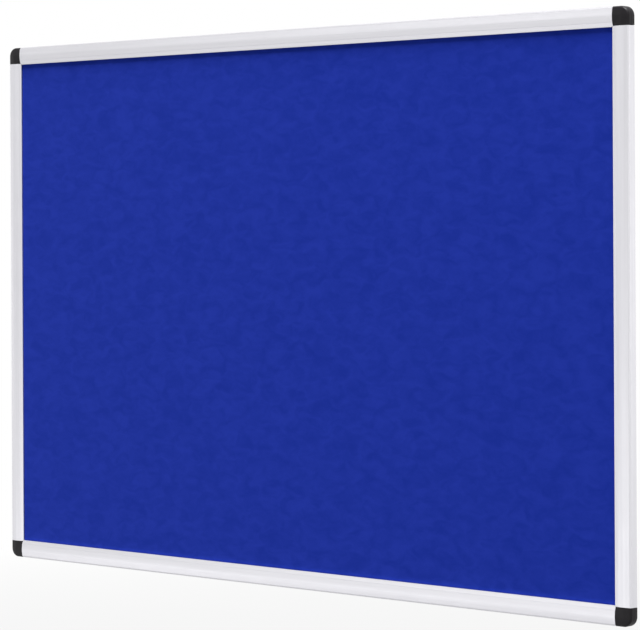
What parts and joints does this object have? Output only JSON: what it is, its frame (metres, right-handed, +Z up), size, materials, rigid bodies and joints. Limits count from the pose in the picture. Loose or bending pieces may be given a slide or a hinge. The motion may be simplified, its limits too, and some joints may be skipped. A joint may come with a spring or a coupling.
{
  "type": "fabric notice board",
  "caption": "Wall-hung landscape notice board: blue felt over soft board in an aluminium frame with black corner pieces, whose covers pull off to reach the wall screw holes.",
  "frame": {"origin": "middle of the board's back, in the plane of the wall it hangs on", "axes": "+X along the long side, to the right as seen from the front; +Z up the short side; +Y into the wall, so the felt faces -Y"},
  "size_m": [0.9, 0.011, 0.6],
  "materials": {
    "anodised_aluminium": "satin clear anodised, drawn lines along the rail",
    "black_plastic": "fine moulded grain, slight sheen on rounded edges",
    "blue_felt": "needle-punched felt, short matted fibres",
    "soft_fibreboard": "pressed soft fibre",
    "galvanised_steel": "thin galvanised sheet, faint spangle",
    "zinc_plated_steel": "bright zinc plate"
  },
  "bodies": {
    "frame": {"top_rail": "anodised_aluminium", "bottom_rail": "anodised_aluminium", "left_rail": "anodised_aluminium", "right_rail": "anodised_aluminium", "top_left_base": "black_plastic", "top_right_base": "black_plastic", "bottom_left_base": "black_plastic", "bottom_right_base": "black_plastic", "top_left_screw_1": "zinc_plated_steel", "top_left_screw_2": "zinc_plated_steel", "top_right_screw_1": "zinc_plated_steel", "top_right_screw_2": "zinc_plated_steel", "bottom_left_screw_1": "zinc_plated_steel", "bottom_left_screw_2": "zinc_plated_steel", "bottom_right_screw_1": "zinc_plated_steel", "bottom_right_screw_2": "zinc_plated_steel", "felt_facing": "blue_felt", "fibreboard_core": "soft_fibreboard", "backing_sheet": "galvanised_steel"},
    "cover_top_left": {"top_left_cover": "black_plastic"},
    "cover_top_right": {"top_right_cover": "black_plastic"},
    "cover_bottom_left": {"bottom_left_cover": "black_plastic"},
    "cover_bottom_right": {"bottom_right_cover": "black_plastic"}
  },
  "joints": [
    {"name": "pull_top_left", "type": "slide", "parent": "frame", "child": "cover_top_left", "axis": [0, -1, 0], "range_m": [0, 0.02]},
    {"name": "pull_top_right", "type": "slide", "parent": "frame", "child": "cover_top_right", "axis": [0, -1, 0], "range_m": [0, 0.02]},
    {"name": "pull_bottom_left", "type": "slide", "parent": "frame", "child": "cover_bottom_left", "axis": [0, -1, 0], "range_m": [0, 0.02]},
    {"name": "pull_bottom_right", "type": "slide", "parent": "frame", "child": "cover_bottom_right", "axis": [0, -1, 0], "range_m": [0, 0.02]}
  ]
}
